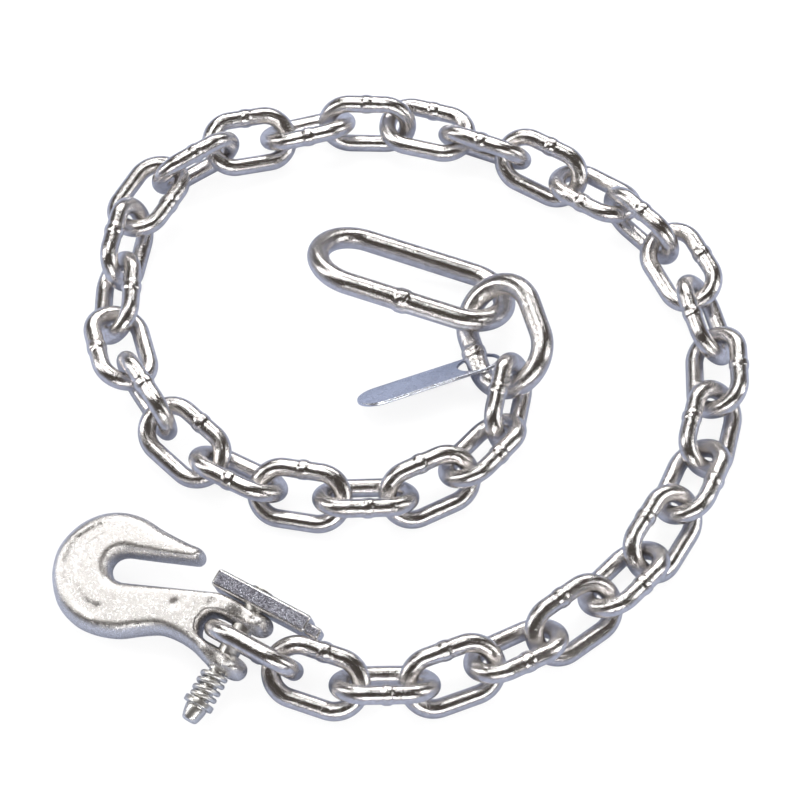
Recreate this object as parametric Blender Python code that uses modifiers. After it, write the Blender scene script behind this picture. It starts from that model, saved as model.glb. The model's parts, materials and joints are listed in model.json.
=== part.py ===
"""Safety chain hook: a forged clevis grab hook with a sprung latch on its pin, a length of
welded chain laid in a loose spiral, and a coupling link that joins it to a master link and
a tag. Metres, +Z up, lying at rest with the floor at z = 0."""

import math

import bmesh
import bpy
from mathutils import Matrix, Vector

# Chain
CHAIN_WIRE = 0.0096
CHAIN_INSIDE_LENGTH = 0.0362
CHAIN_INSIDE_WIDTH = 0.0171
RING_PLAY = 0.0018  # slack where two rings meet

# Coupling link and master link
COUPLING_WIRE = 0.012
COUPLING_INSIDE_LENGTH = 0.048
COUPLING_INSIDE_WIDTH = 0.029
MASTER_WIRE = 0.012
MASTER_INSIDE_LENGTH = 0.093
MASTER_INSIDE_WIDTH = 0.032

# Forged hook, in its own frame: origin on the pin's axis, +X out of the fork, +Y along the
# pin towards the latch plate, +Z out of the face
HOOK_THICKNESS = 0.019
HOOK_ROUNDING = 0.0035
BOWL_AT = (-0.072, 0.0009)
BOWL_RADIUS = 0.0322
THROAT_AT = (-0.0683, 0.0052)
THROAT_WIDTH = 0.0138
THROAT_TURN = math.radians(21)
TIP_X = -0.0375
TIP_RADIUS = 0.0040
WAIST_X = -0.027
WAIST_RADIUS = 0.0221
WAIST_HALF_WIDTH = 0.0132
EAR_WALL = 0.0112
EAR_END = 0.0145
EYE_WALL = 0.0055
SLOT_CLEARANCE = 0.002
SLOT_DEPTH_CLEARANCE = 0.0017

# Clevis pin, its spring and the latch plate
PIN_DIAMETER = 0.0111
PIN_CLEARANCE = 0.0004
PIN_PLAY = 0.0016  # between the pin and the inside of the first link
FACE_GAP = 0.0003
SPRING_WIRE = 0.0028
SPRING_OUTER_DIAMETER = 0.0145
SPRING_LENGTH = 0.0155
SPRING_TURNS = 3.6
COLLAR_DIAMETER = 0.0156
COLLAR_LENGTH = 0.003
NOSE_LENGTH = 0.0085
NOSE_DIAMETER = 0.0112
NOSE_TIP_DIAMETER = 0.0085
HEAD_DIAMETER = 0.0136
HEAD_LENGTH = 0.0009
PLATE_THICKNESS = 0.0094
PLATE_HEIGHT = 0.0165
PLATE_REACH_TO_TIP = 0.0238
PLATE_REACH_TO_CHAIN = 0.030
PLATE_ROUNDING = 0.0014
TAB_LENGTH = 0.0068
TAB_THICKNESS = 0.006
TAB_HEIGHT = 0.0115

# Tag on the coupling link
TAG_LENGTH = 0.081
TAG_WIDTH = 0.0252
TAG_THICKNESS = 0.0018
TAG_HOLE_CLEARANCE = 0.005

# How it lies. The hook rests on its bowl and its pin's collar, rolled about the fork's axis.
HOOK_HEADING = math.radians(-30)
HOOK_ROLL = math.radians(13.5)
FIRST_LINK_ROLL = 6  # how far the first link leans over in the fork, in degrees
# Heading and lean of each later link in whole degrees. Lean lifts the ring's left side.
CHAIN_LAY = [
    (-18, 26), (3, -45), (20, 38), (27, -34), (36, 38), (47, -34), (58, 38), (66, -34),
    (75, 38), (88, -36), (105, 50), (116, -22), (131, 88), (143, 20), (152, -48), (157, 64),
    (165, -4), (177, -73), (190, 38), (199, -31), (212, 78), (240, 6), (260, -64), (270, 50),
    (286, -20), (302, -88), (318, 24), (333, -44), (349, 32), (4, -38), (24, 42), (49, -36),
    (78, 64),
]
RISE_SHARE = 0.45
CHAIN_END_HEIGHT = 0.0125
# Heading, lean and pitch of the last two rings
COUPLING_LAY = (106, -38, 3)
MASTER_LAY = (163, 22, 6)
TAG_HEADING = 201
TAG_TILT = 40
TAG_DOWN_LEG = 0.006  # from the middle of the coupling link towards the chain

RING_SIDES = 8
RING_ARC_STEPS = 6


def collection(name):
    made = bpy.data.collections.new(name)
    bpy.context.scene.collection.children.link(made)
    return made


def add(name, data, group, matrix):
    made = bpy.data.objects.new(name, data)
    group.objects.link(made)
    made.matrix_world = matrix
    return made


def steel(name, color, roughness):
    material = bpy.data.materials.new(name)
    material.use_nodes = True
    shader = material.node_tree.nodes["Principled BSDF"]
    shader.inputs["Base Color"].default_value = (*color, 1)
    shader.inputs["Metallic"].default_value = 1
    shader.inputs["Roughness"].default_value = roughness
    return material


def arc(center, radius, first, last, steps):
    """Points from angle first to angle last, both in degrees and both included."""
    turns = [math.radians(first + (last - first) * i / steps) for i in range(steps + 1)]
    return [(center[0] + radius * math.cos(t), center[1] + radius * math.sin(t)) for t in turns]


def curve_of(name, points, closed):
    curve = bpy.data.curves.new(name, "CURVE")
    curve.dimensions = "3D"
    spline = curve.splines.new("POLY")
    spline.points.add(len(points) - 1)
    for spot, point in zip(spline.points, points):
        spot.co = (*point, 1)
    spline.use_cyclic_u = closed
    return curve


def mesh_object(curve_object):
    """The curve's solid as a mesh object in the same place, with its loose caps welded."""
    graph = bpy.context.evaluated_depsgraph_get()
    mesh = bpy.data.meshes.new_from_object(curve_object.evaluated_get(graph))
    shell = bmesh.new()
    shell.from_mesh(mesh)
    bmesh.ops.remove_doubles(shell, verts=shell.verts, dist=0.000005)
    bmesh.ops.recalc_face_normals(shell, faces=shell.faces)
    shell.to_mesh(mesh)
    shell.free()
    group = curve_object.users_collection[0]
    made = bpy.data.objects.new(curve_object.name + "_solid", mesh)
    group.objects.link(made)
    made.matrix_world = curve_object.matrix_world
    name = curve_object.name
    bpy.data.objects.remove(curve_object)
    made.name = name
    return made


def plate_of(name, points, thickness, rounding, group, matrix):
    """A flat outline, extruded about its plane, with rounded edges inside its own size."""
    curve = curve_of(name, [(x, y, 0) for x, y in points], True)
    curve.dimensions = "2D"
    curve.fill_mode = "BOTH"
    curve.extrude = thickness / 2 - rounding
    curve.bevel_depth = rounding
    curve.bevel_resolution = 1
    curve.offset = -rounding
    flat = add(name, curve, group, matrix)
    bpy.context.view_layer.update()
    return mesh_object(flat)


def turned(name, profile, steps, group, matrix, material):
    """A solid of revolution about its own Z, from (radius, height) points, top to bottom."""
    mesh = bpy.data.meshes.new(name)
    points = [(radius, 0, height) for radius, height in profile]
    mesh.from_pydata(points, [(i, i + 1) for i in range(len(points) - 1)], [])
    made = add(name, mesh, group, matrix)
    screw = made.modifiers.new("turn", "SCREW")
    screw.steps = screw.render_steps = steps
    screw.use_merge_vertices = True
    screw.merge_threshold = 0.00001
    mesh.materials.append(material)
    return made


def ring_tube(name, profile, steps, group, matrix, material):
    """A turned ring: the profile closes on itself."""
    made = turned(name, profile + profile[:1], steps, group, matrix, material)
    weld = made.modifiers.new("close", "WELD")
    weld.merge_threshold = 0.00001
    return made


def cut(target, cutter):
    boolean = target.modifiers.new("cut_" + cutter.name, "BOOLEAN")
    boolean.operation = "DIFFERENCE"
    boolean.object = cutter


def cylinder_cutter(name, radius, length, group, matrix, sides=24):
    shell = bmesh.new()
    bmesh.ops.create_cone(
        shell, cap_ends=True, segments=sides, radius1=radius, radius2=radius, depth=length
    )
    mesh = bpy.data.meshes.new(name)
    shell.to_mesh(mesh)
    shell.free()
    made = add(name, mesh, group, matrix)
    made.hide_render = True
    made.display_type = "WIRE"
    return made


def smooth(objects):
    for item in objects:
        if item.type == "MESH":
            item.data.shade_smooth()
            item.data.set_sharp_from_angle(angle=math.radians(40))


class Ring:
    """The sizes of one kind of welded ring, a wire bent into two half circles and two legs."""

    def __init__(self, wire, inside_length, inside_width):
        self.wire = wire
        self.inside_length = inside_length
        self.inside_width = inside_width
        self.bend = (inside_width + wire) / 2
        self.leg = (inside_length - inside_width) / 2
        self.crown = (inside_length + wire) / 2

    def curve(self, name):
        """The ring's wire about its middle, in the XY plane."""
        points = [
            (*spot, 0)
            for x, first in ((self.leg, -90), (-self.leg, 90))
            for spot in arc((x, 0), self.bend, first, first + 180, RING_ARC_STEPS)
        ]
        curve = curve_of(name, points, True)
        curve.bevel_depth = self.wire / 2
        curve.bevel_resolution = RING_SIDES // 2 - 2
        return curve

    def stands(self, lean):
        """Height of the ring's long axis above the floor it leans on."""
        return self.wire / 2 + self.bend * abs(math.sin(math.radians(lean)))


CHAIN = Ring(CHAIN_WIRE, CHAIN_INSIDE_LENGTH, CHAIN_INSIDE_WIDTH)
COUPLING = Ring(COUPLING_WIRE, COUPLING_INSIDE_LENGTH, COUPLING_INSIDE_WIDTH)
MASTER = Ring(MASTER_WIRE, MASTER_INSIDE_LENGTH, MASTER_INSIDE_WIDTH)

PIN_RADIUS = PIN_DIAMETER / 2
SLOT_HALF = CHAIN_WIRE / 2 + SLOT_CLEARANCE
SLOT_END_X = -(PIN_RADIUS + PIN_PLAY + CHAIN_WIRE + SLOT_DEPTH_CLEARANCE)
EAR_FACE = SLOT_HALF + EAR_WALL
BORE_RADIUS = PIN_RADIUS + PIN_CLEARANCE
EYE_RADIUS = BORE_RADIUS + EYE_WALL
SPRING_BEND = (SPRING_OUTER_DIAMETER - SPRING_WIRE) / 2
TAIL_RADIUS = SPRING_BEND - SPRING_WIRE / 2 - PIN_CLEARANCE
SPRING_FOOT = EAR_FACE + FACE_GAP
COLLAR_FACE = SPRING_FOOT + SPRING_LENGTH + FACE_GAP
PLATE_FACE = EAR_FACE + FACE_GAP
PLATE_BACK = PLATE_FACE + PLATE_THICKNESS


def turn(angle, axis):
    return Matrix.Rotation(angle, 4, axis)


def hook_frame():
    """Place of the hook: its pin's axis as high as the pin's collar or its bowl holds it."""
    on_collar = COLLAR_FACE * math.sin(HOOK_ROLL) + COLLAR_DIAMETER / 2 * math.cos(HOOK_ROLL)
    bowl_edge = BOWL_RADIUS - BOWL_AT[1] - HOOK_ROUNDING
    on_bowl = bowl_edge * math.sin(HOOK_ROLL) + HOOK_THICKNESS / 2 * math.cos(HOOK_ROLL)
    height = max(on_collar, on_bowl)
    return Matrix.Translation((0, 0, height)) @ turn(HOOK_HEADING, "Z") @ turn(HOOK_ROLL, "X")


def throat_wall(side, along):
    """A point on one wall of the throat, in the hook's frame."""
    x = THROAT_AT[0] + along * math.cos(THROAT_TURN) - side * THROAT_WIDTH / 2 * math.sin(THROAT_TURN)
    y = THROAT_AT[1] + along * math.sin(THROAT_TURN) + side * THROAT_WIDTH / 2 * math.cos(THROAT_TURN)
    return x, y


def hook_outline():
    """The forging's outline from the upper ear, round the throat, tip, bowl and lower ear,
    and back along the fork's slot."""
    turned_by = math.degrees(THROAT_TURN)
    lower_start = throat_wall(-1, 0)
    to_ear = (EAR_FACE - lower_start[1]) / math.sin(THROAT_TURN)
    tip_along = (TIP_X - throat_wall(1, 0)[0]) / math.cos(THROAT_TURN)
    tip_foot = throat_wall(1, tip_along)
    tip_at = (
        tip_foot[0] - TIP_RADIUS * math.sin(THROAT_TURN),
        tip_foot[1] + TIP_RADIUS * math.cos(THROAT_TURN),
    )
    ear_round = EAR_WALL / 2
    ear_x = EAR_END - ear_round
    waist_at = (WAIST_X, -WAIST_HALF_WIDTH - WAIST_RADIUS)
    points = arc((ear_x, EAR_FACE - ear_round), ear_round, -90, 90, 6)
    points.append(throat_wall(-1, to_ear))
    points += arc(THROAT_AT, THROAT_WIDTH / 2, turned_by - 90, turned_by - 270, 10)
    points += arc(tip_at, TIP_RADIUS, turned_by - 90, 90, 6)
    points += arc(BOWL_AT, BOWL_RADIUS, 93, 291, 22)
    points += arc(waist_at, WAIST_RADIUS, 146, 84, 5)
    points.append((SLOT_END_X + EAR_WALL / 2, -EAR_FACE + EAR_WALL / 5))
    points += arc((ear_x, ear_round - EAR_FACE), ear_round, -90, 90, 6)
    points += arc((SLOT_END_X + SLOT_HALF, 0), SLOT_HALF, 270, 90, 10)
    return points


def make_hook(group, cutters, frame, material):
    along_pin = frame @ turn(math.radians(-90), "X")
    hook = plate_of("hook_body", hook_outline(), HOOK_THICKNESS, HOOK_ROUNDING, group, frame)
    for side, name in ((1, "upper_eye"), (-1, "lower_eye")):
        place = along_pin @ Matrix.Translation((0, 0, side * (SLOT_HALF + EAR_WALL / 2)))
        eye = cylinder_cutter(name, EYE_RADIUS, EAR_WALL, cutters, place)
        union = hook.modifiers.new(name, "BOOLEAN")
        union.operation = "UNION"
        union.object = eye
    bore_length = 2 * EAR_FACE + 4 * EAR_WALL
    cut(hook, cylinder_cutter("pin_bore", BORE_RADIUS, bore_length, cutters, along_pin))
    hook.data.materials.append(material)
    return hook


def make_pin(group, frame, material):
    """The pin and its riveted head, its sprung tail and its nose, turned about its axis."""
    shoulder = -EAR_FACE + FACE_GAP
    nose_top = -COLLAR_FACE - COLLAR_LENGTH - FACE_GAP
    head_face = PLATE_BACK + FACE_GAP
    profile = [
        (0, head_face + HEAD_LENGTH),
        (HEAD_DIAMETER / 2 - HEAD_LENGTH / 2, head_face + HEAD_LENGTH),
        (HEAD_DIAMETER / 2, head_face + HEAD_LENGTH / 2),
        (HEAD_DIAMETER / 2, head_face),
        (PIN_RADIUS, head_face),
        (PIN_RADIUS, shoulder),
        (TAIL_RADIUS, shoulder),
        (TAIL_RADIUS, nose_top),
        (NOSE_DIAMETER / 2, nose_top),
        (NOSE_TIP_DIAMETER / 2, nose_top - NOSE_LENGTH),
        (0, nose_top - NOSE_LENGTH),
    ]
    place = frame @ turn(math.radians(-90), "X")
    return turned("clevis_pin", profile, 20, group, place, material)


def make_collar(group, frame, material):
    """The ring on the pin's tail that holds the spring."""
    outer = COLLAR_DIAMETER / 2
    inner = TAIL_RADIUS + FACE_GAP / 2
    top, bottom = -COLLAR_FACE, -COLLAR_FACE - COLLAR_LENGTH
    profile = [(inner, top), (outer, top), (outer, bottom), (inner, bottom)]
    place = frame @ turn(math.radians(-90), "X")
    return ring_tube("pin_collar", profile, 20, group, place, material)


def make_spring(group, frame, material):
    steps = round(SPRING_TURNS * 12)
    rise = SPRING_LENGTH - SPRING_WIRE
    points = []
    for i in range(steps + 1):
        angle = 2 * math.pi * SPRING_TURNS * i / steps
        height = -SPRING_FOOT - SPRING_WIRE / 2 - rise * i / steps
        points.append((SPRING_BEND * math.cos(angle), SPRING_BEND * math.sin(angle), height))
    curve = curve_of("latch_spring", points, False)
    curve.bevel_depth = SPRING_WIRE / 2
    curve.bevel_resolution = 2
    curve.use_fill_caps = True
    curve.materials.append(material)
    return add("latch_spring", curve, group, frame @ turn(math.radians(-90), "X"))


def make_latch(group, cutters, frame, material):
    """The plate across the throat, standing on edge on the pin, with a thinner tab."""
    half = PLATE_HEIGHT / 2
    tab_top = TAB_HEIGHT - half
    outline = [
        (PLATE_REACH_TO_CHAIN, half),
        (-PLATE_REACH_TO_TIP, half),
        (-PLATE_REACH_TO_TIP, -half),
        (PLATE_REACH_TO_CHAIN, -half),
    ]
    stand = frame @ turn(math.radians(90), "X")
    place = stand @ Matrix.Translation((0, 0, -PLATE_FACE - PLATE_THICKNESS / 2))
    plate = plate_of("latch_plate", outline, PLATE_THICKNESS, PLATE_ROUNDING, group, place)
    overlap = TAB_LENGTH / 2
    tab_outline = [
        (PLATE_REACH_TO_CHAIN + TAB_LENGTH, tab_top),
        (PLATE_REACH_TO_CHAIN - overlap, tab_top),
        (PLATE_REACH_TO_CHAIN - overlap, PLATE_ROUNDING - half),
        (PLATE_REACH_TO_CHAIN + TAB_LENGTH, PLATE_ROUNDING - half),
    ]
    tab_place = stand @ Matrix.Translation((0, 0, -PLATE_FACE - PLATE_ROUNDING / 2 - TAB_THICKNESS / 2))
    tab = plate_of("latch_tab", tab_outline, TAB_THICKNESS, PLATE_ROUNDING, cutters, tab_place)
    tab.hide_render = True
    tab.display_type = "WIRE"
    union = plate.modifiers.new("tab", "BOOLEAN")
    union.operation = "UNION"
    union.object = tab
    bore_radius = PIN_RADIUS + PIN_CLEARANCE
    cut(plate, cylinder_cutter("plate_bore", bore_radius, 4 * PLATE_THICKNESS, cutters, place))
    plate.data.materials.append(material)
    return plate


def ring_turn(heading, lean, pitch):
    """How a ring is turned: +X along it and +Y across it."""
    lifted = turn(math.radians(-pitch), "Y") @ turn(math.radians(lean), "X")
    return turn(math.radians(heading), "Z") @ lifted


def hang(ring, turned_by, parent, parent_frame):
    """(seat, frame) of a ring hung in its parent's far end, where the two wires touch. The seat
    is on the parent's wire and its +Y is the hinge's axis."""
    seat = parent_frame @ Matrix.Translation((parent.crown, 0, 0))
    along = turned_by.col[0].xyz
    apart = parent_frame.col[1].xyz.cross(turned_by.col[1].xyz).normalized()
    if apart.dot(parent_frame.col[0].xyz + along) > 0:
        apart.negate()
    crown = seat.translation + apart * (parent.wire / 2 + ring.wire / 2 + RING_PLAY)
    return seat, Matrix.Translation(crown + along * ring.crown) @ turned_by


def hang_to_height(ring, heading, lean, end_height, parent, parent_frame):
    """The same, pitched so that the ring comes back to this height at its far end, and a share
    further where its near end is off it."""
    pitch = 0
    for _ in range(8):
        seat, frame = hang(ring, ring_turn(heading, lean, pitch), parent, parent_frame)
        short = end_height - (frame @ Vector((-ring.crown, 0, 0))).z
        pitch = math.degrees(math.asin((1 + RISE_SHARE) * short / (2 * ring.crown)))
    return seat, frame


def add_ring(name, curve, group, seat, frame):
    """A ring parented to an empty on its hinge."""
    hinge = add("hinge_" + name, None, group, seat)
    hinge.empty_display_size = CHAIN_WIRE
    made = bpy.data.objects.new(name, curve)
    group.objects.link(made)
    made.parent = hinge
    made.matrix_parent_inverse = seat.inverted()
    made.matrix_basis = frame
    return made


def make_chain(group, hook, material):
    """The links, the coupling link and the master link, each at its hinge on the ring before.
    Two links meet at the height of whichever stands taller."""
    first_lean = math.degrees(HOOK_ROLL) + FIRST_LINK_ROLL - 90
    middle = CHAIN.inside_length / 2 - PIN_RADIUS - PIN_PLAY
    flat_turn = turn(HOOK_HEADING, "Z") @ turn(math.radians(first_lean), "X")
    along = flat_turn.col[0].xyz
    place = Vector((*hook.translation.xy, CHAIN.stands(first_lean))) + middle * along
    frame = Matrix.Translation(place) @ flat_turn
    shared = CHAIN.curve("chain_link")
    made = [add_ring("chain_link_00", shared, group, hook.copy(), frame)]
    heights = [CHAIN.stands(lean) for _, lean in CHAIN_LAY] + [CHAIN_END_HEIGHT]
    for i, (heading, lean) in enumerate(CHAIN_LAY):
        end_height = max(heights[i], heights[i + 1])
        seat, frame = hang_to_height(CHAIN, heading, lean, end_height, CHAIN, frame)
        made.append(add_ring(f"chain_link_{i + 1:02d}", shared, group, seat, frame))
    seat, coupling = hang(COUPLING, ring_turn(*COUPLING_LAY), CHAIN, frame)
    made.append(add_ring("coupling_link", COUPLING.curve("coupling_link"), group, seat, coupling))
    seat, master = hang(MASTER, ring_turn(*MASTER_LAY), COUPLING, coupling)
    made.append(add_ring("master_link", MASTER.curve("master_link"), group, seat, master))
    for item in made:
        if not item.data.materials:
            item.data.materials.append(material)
    return coupling


def make_tag(group, cutters, coupling, material):
    """A flat strip with a round end and a hole, threaded on a leg of the coupling link."""
    hole_radius = COUPLING.wire / 2 + TAG_HOLE_CLEARANCE
    end_radius = TAG_WIDTH / 2
    reach = TAG_LENGTH - TAG_WIDTH
    outline = arc((0, 0), end_radius, -90, 90, 8) + arc((-reach, 0), end_radius, 90, 270, 8)
    leg = coupling @ Vector((-TAG_DOWN_LEG, COUPLING.bend, 0))
    place = (
        Matrix.Translation(leg)
        @ turn(math.radians(TAG_HEADING - 180), "Z")
        @ turn(math.radians(-TAG_TILT), "X")
    )
    tag = plate_of("tag", outline, TAG_THICKNESS, TAG_THICKNESS / 5, group, place)
    hole = cylinder_cutter("tag_hole", hole_radius, 10 * TAG_THICKNESS, cutters, place, 32)
    cut(tag, hole)
    tag.data.materials.append(material)
    return tag


def rest_on_floor(group, cutters):
    """Moves everything so that the middle of its underside is the origin."""
    bpy.context.view_layer.update()
    graph = bpy.context.evaluated_depsgraph_get()
    corners = []
    for item in group.objects:
        if item.type == "EMPTY":
            continue
        solid = item.evaluated_get(graph)
        mesh = solid.to_mesh()
        corners += [solid.matrix_world @ vertex.co for vertex in mesh.vertices]
        solid.to_mesh_clear()
    low = Vector(min(corner[i] for corner in corners) for i in range(3))
    high = Vector(max(corner[i] for corner in corners) for i in range(3))
    shift = Vector((-(low.x + high.x) / 2, -(low.y + high.y) / 2, -low.z))
    move = Matrix.Translation(shift)
    for item in [*group.objects, *cutters.objects]:
        if item.parent is None:
            item.matrix_world = move @ item.matrix_world


def main():
    for item in list(bpy.data.objects):
        bpy.data.objects.remove(item)
    group = collection("safety_chain_hook")
    cutters = collection("cutters")
    zinc = steel("zinc_plate", (0.62, 0.62, 0.64), 0.22)
    forged = steel("zinc_on_forging", (0.66, 0.66, 0.67), 0.38)
    spring_steel = steel("spring_zinc", (0.6, 0.6, 0.6), 0.25)
    tag_steel = steel("tag_zinc", (0.6, 0.63, 0.7), 0.35)
    hook = hook_frame()
    made = [
        make_hook(group, cutters, hook, forged),
        make_pin(group, hook, zinc),
        make_collar(group, hook, zinc),
        make_spring(group, hook, spring_steel),
        make_latch(group, cutters, hook, zinc),
    ]
    coupling = make_chain(group, hook, zinc)
    made.append(make_tag(group, cutters, coupling, tag_steel))
    rest_on_floor(group, cutters)
    smooth(made)


main()
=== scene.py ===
# %% [markdown]
# # Safety chain hook: the looks
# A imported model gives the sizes, the places and the joints. This file builds what is seen
# around it: welded links with their weld beads, a forged grab hook, a sprung clevis pin, a
# latch plate and a tag, all plated with bright zinc. Each step says what the real piece is,
# how it could be made, and why it is made this way.

# %% Load the frame
import json
import math

import bpy
import numpy as np
from mathutils import Matrix, Vector, geometry

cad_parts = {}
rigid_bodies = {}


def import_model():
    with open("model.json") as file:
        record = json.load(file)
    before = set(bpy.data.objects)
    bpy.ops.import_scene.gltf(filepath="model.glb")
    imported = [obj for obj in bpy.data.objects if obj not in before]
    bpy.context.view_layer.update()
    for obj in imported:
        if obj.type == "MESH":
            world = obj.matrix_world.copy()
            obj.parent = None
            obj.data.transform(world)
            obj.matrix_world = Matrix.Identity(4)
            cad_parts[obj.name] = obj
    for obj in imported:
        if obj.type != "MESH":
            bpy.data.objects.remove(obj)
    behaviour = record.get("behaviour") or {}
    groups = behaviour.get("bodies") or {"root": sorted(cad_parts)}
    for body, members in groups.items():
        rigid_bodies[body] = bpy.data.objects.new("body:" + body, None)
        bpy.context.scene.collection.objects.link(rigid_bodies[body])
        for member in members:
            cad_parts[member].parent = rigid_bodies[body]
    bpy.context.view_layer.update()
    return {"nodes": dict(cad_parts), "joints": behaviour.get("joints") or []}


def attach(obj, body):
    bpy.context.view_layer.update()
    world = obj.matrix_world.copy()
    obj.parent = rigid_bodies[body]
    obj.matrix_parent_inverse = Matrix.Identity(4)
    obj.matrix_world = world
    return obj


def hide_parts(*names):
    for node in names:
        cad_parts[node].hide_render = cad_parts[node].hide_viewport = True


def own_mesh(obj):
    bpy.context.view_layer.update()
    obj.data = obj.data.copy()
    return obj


for item in list(bpy.data.objects):
    bpy.data.objects.remove(item)
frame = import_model()
MM = 0.001

# %% [markdown]
# ## The view
# The object lies on a table and the lens looks down on it from the front. A long lens from
# more than a metre away keeps far and near links almost the same size.

# %% Camera
LOOK_AT = Vector((-0.0039, 0.0008, 0.0025))
ELEVATION = math.radians(58.5)
DISTANCE = 1.257
FOCAL_LENGTH, SENSOR_WIDTH = 105.75, 36
lens = bpy.data.cameras.new("lens")
lens.lens = FOCAL_LENGTH
lens.sensor_width = SENSOR_WIDTH
camera = bpy.data.objects.new("camera", lens)
bpy.context.scene.collection.objects.link(camera)
camera.location = LOOK_AT + DISTANCE * Vector((0, -math.cos(ELEVATION), math.sin(ELEVATION)))
camera.rotation_euler = (math.pi / 2 - ELEVATION, 0, 0)  # looks down by the elevation
bpy.context.scene.camera = camera
print("camera at", [round(value, 3) for value in camera.location])

# %% [markdown]
# ## Light
# Bright zinc is a soft mirror, so what it shows is the room. Large soft lamps give the white
# streaks along each wire, and a dim room between the lamps gives the dark streaks beside
# them. The table is a white sheet to the lens, but a cooler and dimmer one to the metal,
# because a curved wire sees the shaded paper close under it.


# %% Node helpers
def node(tree, kind, **values):
    """Adds a node; each value sets a property, or a socket where no property has that name."""
    made = tree.nodes.new(kind)
    for key, value in values.items():
        if hasattr(made, key):
            setattr(made, key, value)
        else:
            made.inputs[key.replace("_", " ")].default_value = value
    return made


def wire_up(tree, *pairs):
    """Links each pair of an output and an input."""
    for start, end in pairs:
        tree.links.new(start, end)


# %% Lamps
def lamp(name, place, width, height, power):
    """A rectangular soft lamp at a place, turned to face the middle of the table."""
    data = bpy.data.lights.new(name, "AREA")
    data.shape = "RECTANGLE"
    data.size, data.size_y = width, height
    data.energy = power
    made = bpy.data.objects.new(name, data)
    bpy.context.scene.collection.objects.link(made)
    made.location = place
    made.rotation_euler = (-Vector(place)).to_track_quat("-Z", "Y").to_euler()


# name, place and size in metres, power in watts
LAMPS = [
    ("back_softbox", (0.1, 1.25, 1.05), 1.4, 0.26, 12),
    ("overhead_softbox", (-0.35, 0.35, 1.5), 0.6, 0.42, 6),
    ("left_softbox", (-1.3, 0.1, 0.8), 0.26, 1.0, 5.5),
    ("right_softbox", (1.35, -0.2, 0.65), 0.22, 0.8, 4),
    ("front_strip", (0.2, -1.4, 0.62), 1.3, 0.14, 7),
]
for row in LAMPS:
    lamp(*row)
print("lamps", len(LAMPS))

# %% [markdown]
# ## The room
# Metal shows its surroundings, and the world is the surroundings that no lamp fills. One
# ramp over height gives mirror-like rays a dim warm room, and every other ray sees an even
# pale one, so the shadows stay soft.

# %% Room
# height of the view direction, and the room's colour there
ROOM = [
    (0.0, (0.22, 0.22, 0.24, 1)),
    (0.42, (0.058, 0.048, 0.042, 1)),
    (0.95, (0.05, 0.041, 0.036, 1)),
]
PALE_ROOM = 0.9
world = bpy.data.worlds.new("room")
bpy.context.scene.world = world
world.use_nodes = True
tree = world.node_tree
tree.nodes.clear()
way = node(tree, "ShaderNodeTexCoord")
split = node(tree, "ShaderNodeSeparateXYZ")
ramp = node(tree, "ShaderNodeValToRGB")
ramp.color_ramp.elements.new(ROOM[1][0])
for stop, (height, color) in zip(ramp.color_ramp.elements, ROOM):
    stop.position = height
    stop.color = color
dim = node(tree, "ShaderNodeBackground", Strength=1.0)
pale = node(tree, "ShaderNodeBackground", Color=(1, 1, 1, 1), Strength=PALE_ROOM)
rays = node(tree, "ShaderNodeLightPath")
mixed = node(tree, "ShaderNodeMixShader")
sky = node(tree, "ShaderNodeOutputWorld")
wire_up(
    tree,
    (way.outputs["Generated"], split.inputs[0]),
    (split.outputs["Z"], ramp.inputs["Fac"]),
    (ramp.outputs["Color"], dim.inputs["Color"]),
    (rays.outputs["Is Glossy Ray"], mixed.inputs["Fac"]),
    (pale.outputs[0], mixed.inputs[1]),
    (dim.outputs[0], mixed.inputs[2]),
    (mixed.outputs[0], sky.inputs["Surface"]),
)
print("room colours", len(ROOM))

# %% [markdown]
# ## The table
# A plain white sheet. To the lens it glows a little, so that it stays white and still takes
# a faint shadow; to all other rays it is a cool mid grey, which the lower side of each wire
# reflects.

# %% Floor
floor_mesh = bpy.data.meshes.new("floor")
FLOOR_REACH = 3.0
SHEET_GLOW = 0.86
SHEET_SHADE = (0.16, 0.16, 0.16, 1)
COOL_GREY = (0.34, 0.37, 0.47, 1)
floor_mesh.from_pydata(
    [(x * FLOOR_REACH, y * FLOOR_REACH, 0) for x, y in ((-1, -1), (1, -1), (1, 1), (-1, 1))],
    [],
    [(0, 1, 2, 3)],
)
floor = bpy.data.objects.new("floor", floor_mesh)
bpy.context.scene.collection.objects.link(floor)
paper = bpy.data.materials.new("paper")
paper.use_nodes = True
tree = paper.node_tree
tree.nodes.clear()
white = node(tree, "ShaderNodeEmission", Color=(1, 1, 1, 1), Strength=SHEET_GLOW)
shade = node(tree, "ShaderNodeBsdfDiffuse", Color=SHEET_SHADE)
glow = node(tree, "ShaderNodeAddShader")
cool = node(tree, "ShaderNodeBsdfDiffuse", Color=COOL_GREY)
rays = node(tree, "ShaderNodeLightPath")
mixed = node(tree, "ShaderNodeMixShader")
out = node(tree, "ShaderNodeOutputMaterial")
wire_up(
    tree,
    (white.outputs[0], glow.inputs[0]),
    (shade.outputs[0], glow.inputs[1]),
    (rays.outputs["Is Camera Ray"], mixed.inputs["Fac"]),
    (cool.outputs[0], mixed.inputs[1]),
    (glow.outputs[0], mixed.inputs[2]),
    (mixed.outputs[0], out.inputs["Surface"]),
)
floor_mesh.materials.append(paper)
bpy.context.scene.view_settings.view_transform = "Standard"
print("floor", 2 * FLOOR_REACH, "m wide")

# %% [markdown]
# ## Zinc
# Electroplated zinc is a thin bright skin. It is never an even mirror: patches a few
# millimetres across differ in brightness, crystals make fine specks, and the drawn or forged
# steel below gives it a slight orange peel. One node group makes the patches, specks and
# peel from Object coordinates, and each finish uses it with its own sizes and amounts. A
# second group lightens rubbed edges.


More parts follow.
